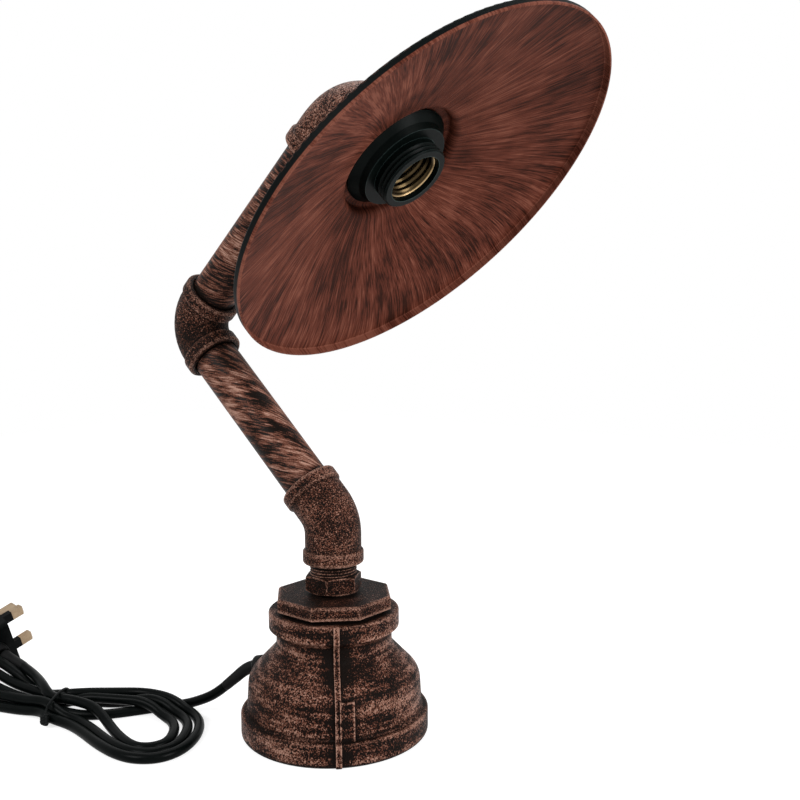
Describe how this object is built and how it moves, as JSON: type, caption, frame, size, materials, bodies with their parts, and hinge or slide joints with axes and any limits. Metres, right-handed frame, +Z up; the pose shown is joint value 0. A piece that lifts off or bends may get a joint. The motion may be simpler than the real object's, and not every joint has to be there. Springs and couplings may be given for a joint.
{
  "type": "table lamp",
  "caption": "Desk lamp of threaded pipe and elbows on a bell-shaped reducer base, with a lampholder, a flat conical shade and a corded mains plug.",
  "frame": {"origin": "centre of the base's foot, on the surface it stands on", "axes": "+Z up; +X the way the head reaches over the base; +Y to the left of the head"},
  "size_m": [0.4359, 0.2394, 0.3881],
  "materials": {
    "casting": "black-brown cast iron with a rubbed copper-red speckle",
    "pipe": "red-brown lacquer with fine brushed streaks round the pipe",
    "shade_paint": "red-brown lacquer brushed radially inside, near-black outside and on the lip",
    "holder_plastic": "black phenolic, satin",
    "insert_ceramic": "glazed white porcelain",
    "brass": "bright drawn brass",
    "zinc_steel": "zinc-plated",
    "grommet_rubber": "black rubber",
    "clamp_plastic": "black nylon",
    "cord_sheath": "black PVC, semi-gloss",
    "tie_plastic": "black coated wire",
    "plug_plastic": "black moulded PVC, satin",
    "fuse_ceramic": "ceramic body with metal ends",
    "foot_felt": "black felt"
  },
  "bodies": {
    "base": {"base_reducer": "casting", "foot_pad": "foot_felt", "octagon_bush": "casting", "hex_nipple": "casting", "cable_grommet": "grommet_rubber", "cord_clamp": "clamp_plastic", "earth_tag": "brass", "earth_screw": "zinc_steel", "inner_flex_base": "cord_sheath", "mains_cord": "cord_sheath", "cord_hank": "cord_sheath", "cord_tie": "tie_plastic", "plug_lead": "cord_sheath", "plug_body": "plug_plastic", "plug_boot": "grommet_rubber", "line_pin": "brass", "neutral_pin": "brass", "earth_pin": "brass", "pin_sleeves": "plug_plastic"},
    "fuse_drawer": {"plug_fuse_carrier": "plug_plastic", "plug_fuse": "fuse_ceramic"},
    "neck": {"neck_elbow": "casting", "lower_pipe": "pipe", "inner_flex_neck": "cord_sheath"},
    "arm": {"middle_elbow": "casting", "upper_pipe": "pipe", "inner_flex_arm": "cord_sheath"},
    "head": {"head_elbow": "casting", "inner_flex_head": "cord_sheath", "holder_skirt": "holder_plastic", "holder_cap": "holder_plastic", "holder_insert": "insert_ceramic", "screw_shell": "brass", "centre_contact": "brass", "terminal_screws": "zinc_steel", "shade": "shade_paint", "shade_ring": "holder_plastic"}
  },
  "joints": [
    {"name": "neck_swivel", "type": "hinge", "parent": "base", "child": "neck", "pos_m": [0, 0, 0.1005], "axis": [0, 0, 1], "range_deg": [-90, 90]},
    {"name": "arm_swivel", "type": "hinge", "parent": "neck", "child": "arm", "pos_m": [-0.10798, 0, 0.23408], "axis": [-0.7071, 0, 0.7071], "range_deg": [-60, 60]},
    {"name": "head_swivel", "type": "hinge", "parent": "arm", "child": "head", "pos_m": [0.01414, 0, 0.35619], "axis": [0.7071, 0, 0.7071], "range_deg": [-90, 90]},
    {"name": "fuse_slide", "type": "slide", "parent": "base", "child": "fuse_drawer", "axis": [0.153, 0.9311, 0.331], "range_m": [0, 0.012]}
  ]
}
